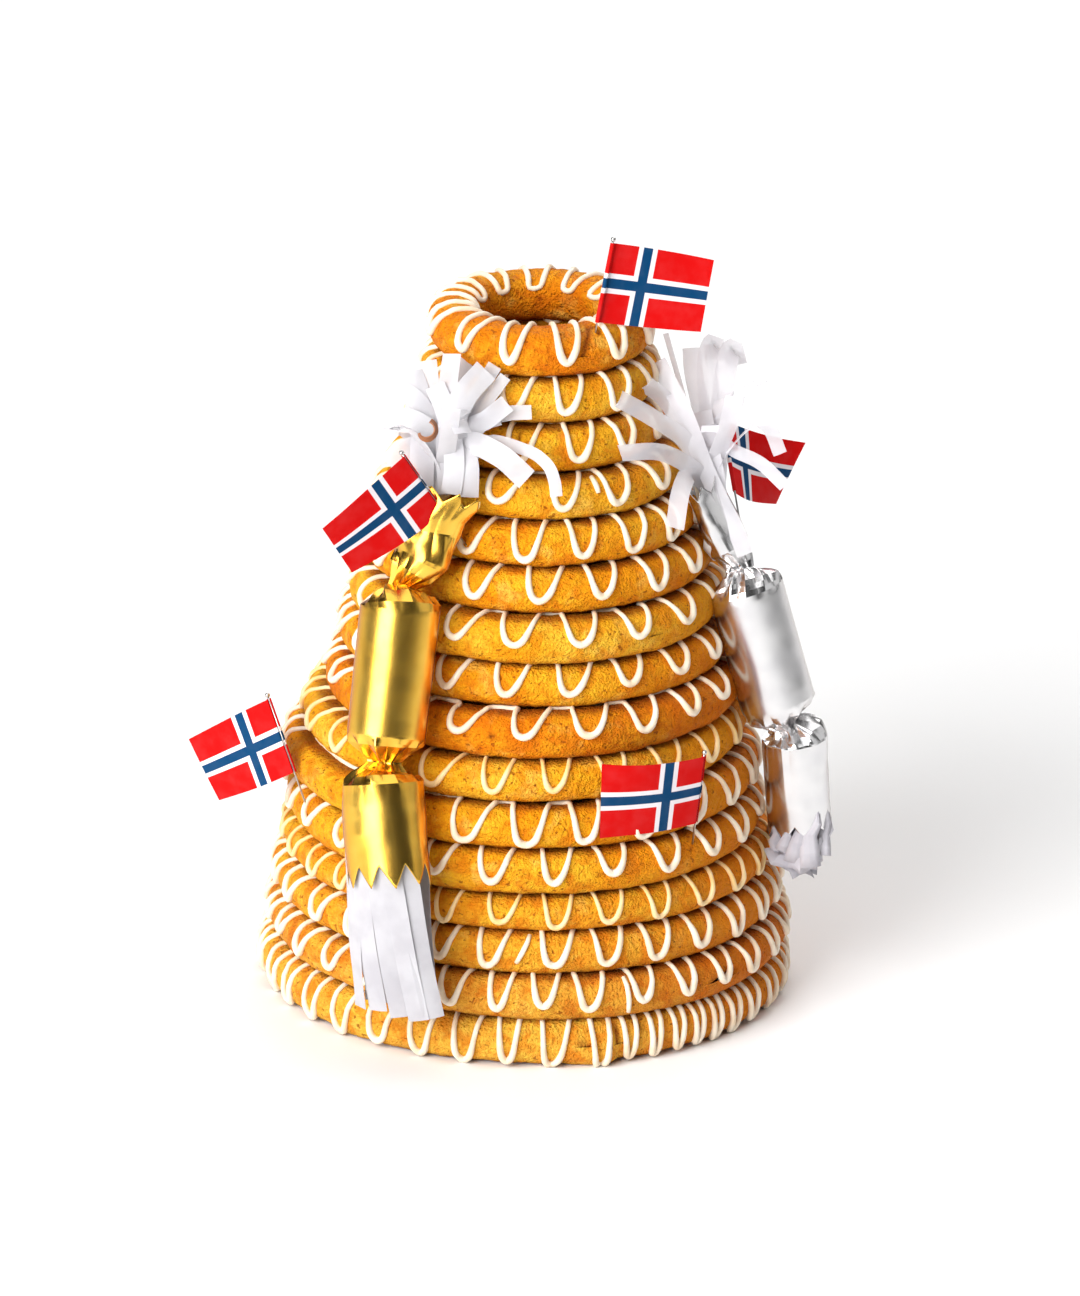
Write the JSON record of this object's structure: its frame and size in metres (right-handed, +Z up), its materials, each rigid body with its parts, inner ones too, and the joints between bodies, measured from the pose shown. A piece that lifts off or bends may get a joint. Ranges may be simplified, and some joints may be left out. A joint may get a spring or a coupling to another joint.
{
  "type": "kransekake ring cake",
  "caption": "Festive almond cake of baked rings stacked into a hollow tapering tower, with piped white icing, paper flags on pins and foil party crackers hung on its sides.",
  "frame": {"origin": "on the plane that the lowest ring stands on, under the centre of the whole dressed cake's bounding box; the tower's own axis is 6.4 mm towards +X and 6.8 mm towards +Y from it", "axes": "+Z up the tower, +X to the viewer's right and +Y to the back, seen from the side that carries the flags and the gold cracker"},
  "size_m": [0.2466, 0.2154, 0.3025],
  "materials": {
    "golden_crust": "matt baked almond dough, golden brown with fine dark specks",
    "brown_crust": "matt baked almond dough, darker orange brown",
    "pale_crust": "matt baked almond dough, lighter yellow brown",
    "icing": "dried sugar icing, smooth with a faint sheen",
    "flag_paper": "printed satin paper: red field, white-edged blue cross",
    "pin_steel": "bright steel wire",
    "gold_foil": "shiny gold foil paper, creased at the ties",
    "silver_foil": "shiny silver foil paper, creased at the ties",
    "white_tissue": "thin white tissue paper cut in strips"
  },
  "bodies": {
    "root": {"ring_01": "golden_crust", "ring_02": "brown_crust", "ring_03": "golden_crust", "ring_04": "golden_crust", "ring_05": "golden_crust", "ring_06": "golden_crust", "ring_07": "pale_crust", "ring_08": "brown_crust", "ring_09": "golden_crust", "ring_10": "pale_crust", "ring_11": "golden_crust", "ring_12": "golden_crust", "ring_13": "pale_crust", "ring_14": "golden_crust", "ring_15": "pale_crust", "ring_16": "brown_crust", "flag_top": "flag_paper", "flag_pin_top": "pin_steel", "flag_right": "flag_paper", "flag_pin_right": "pin_steel", "flag_left": "flag_paper", "flag_pin_left": "pin_steel", "flag_low_left": "flag_paper", "flag_pin_low_left": "pin_steel", "flag_low_right": "flag_paper", "flag_pin_low_right": "pin_steel", "gold_wrapper": "gold_foil", "gold_burst": "white_tissue", "gold_fringe": "white_tissue", "silver_wrapper": "silver_foil", "silver_burst": "white_tissue", "silver_fringe": "white_tissue"}
  },
  "joints": []
}
